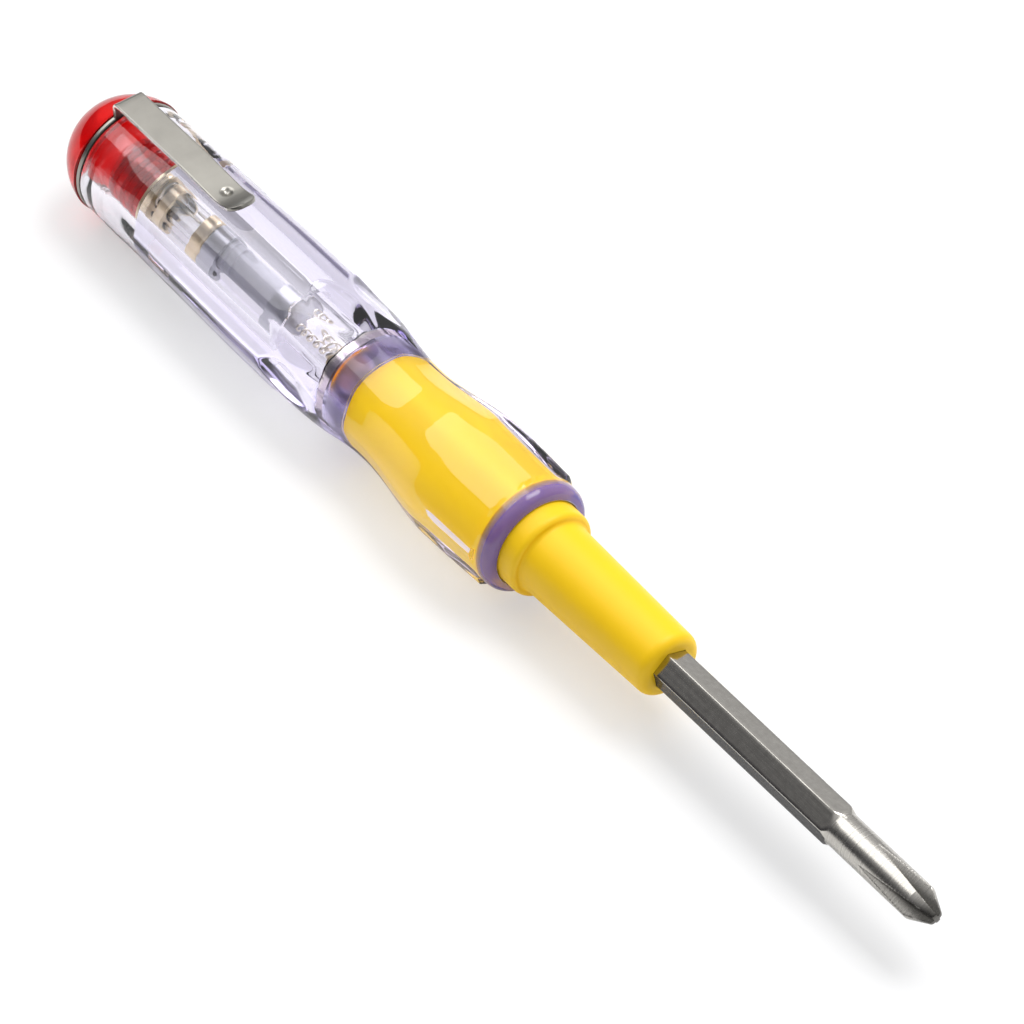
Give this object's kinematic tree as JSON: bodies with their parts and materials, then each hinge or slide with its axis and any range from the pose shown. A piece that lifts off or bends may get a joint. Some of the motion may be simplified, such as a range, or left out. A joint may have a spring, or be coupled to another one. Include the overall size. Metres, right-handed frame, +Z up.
{
  "type": "voltage tester screwdriver",
  "caption": "Voltage tester screwdriver: clear faceted handle with neon lamp and resistor inside, red screw cap, steel pocket clip, yellow sleeve and reversible hex bit.",
  "frame": {"origin": "on the surface that the tool lies on, under the middle of its length", "axes": "+X along the tool towards the bit's tip, +Z up with the pocket clip on top"},
  "size_m": [0.1742, 0.0182, 0.0209],
  "materials": {
    "clear_plastic": "clear, faint violet",
    "red_plastic": "glossy, translucent red",
    "yellow_plastic": "satin",
    "clip_steel": "satin, polished edge",
    "brass": "stamped",
    "nickel": "bright",
    "lamp_glass": "clear",
    "resistor_grey": "matte",
    "bit_steel": "ground flats, bright turned tip"
  },
  "bodies": {
    "handle": {"handle_shell": "clear_plastic", "bit_sleeve": "yellow_plastic", "socket_ring": "nickel", "lamp_cup_rear": "brass", "lamp_cup_front": "brass", "lamp_glass": "lamp_glass", "lamp_electrode_rear": "nickel", "lamp_electrode_front": "nickel", "resistor_body": "resistor_grey", "resistor_cup_rear": "nickel", "resistor_cup_front": "nickel", "contact_spring": "nickel", "front_spring": "nickel"},
    "contact": {"touch_contact": "brass"},
    "cap": {"end_cap": "red_plastic"},
    "clip": {"pocket_clip": "clip_steel"},
    "plunger": {"contact_plunger": "brass"},
    "bit": {"reversible_bit": "bit_steel"}
  },
  "joints": [
    {"name": "cap_travel", "type": "slide", "parent": "handle", "child": "contact", "axis": [-1, 0, 0], "range_m": [0, 0.006], "deforming": ["contact_spring"]},
    {"name": "cap_turn", "type": "hinge", "parent": "contact", "child": "cap", "pos_m": [-0.0783, 0, 0.00912], "axis": [-1, 0, 0], "range_deg": [0, 1080]},
    {"name": "clip_swivel", "type": "hinge", "parent": "contact", "child": "clip", "pos_m": [-0.0783, 0, 0.00912], "axis": [1, 0, 0], "continuous": true},
    {"name": "plunger_press", "type": "slide", "parent": "handle", "child": "plunger", "axis": [-1, 0, 0], "range_m": [0, 0.0012], "stiffness_N_per_m": 100, "springref_m": -0.003, "deforming": ["front_spring"]},
    {"name": "bit_slide", "type": "slide", "parent": "handle", "child": "bit", "axis": [1, 0, 0], "range_m": [0, 0.0501]}
  ],
  "couplings": [
    {"joint": "cap_turn", "follows": "cap_travel", "rad_per_m": 3141.6}
  ]
}
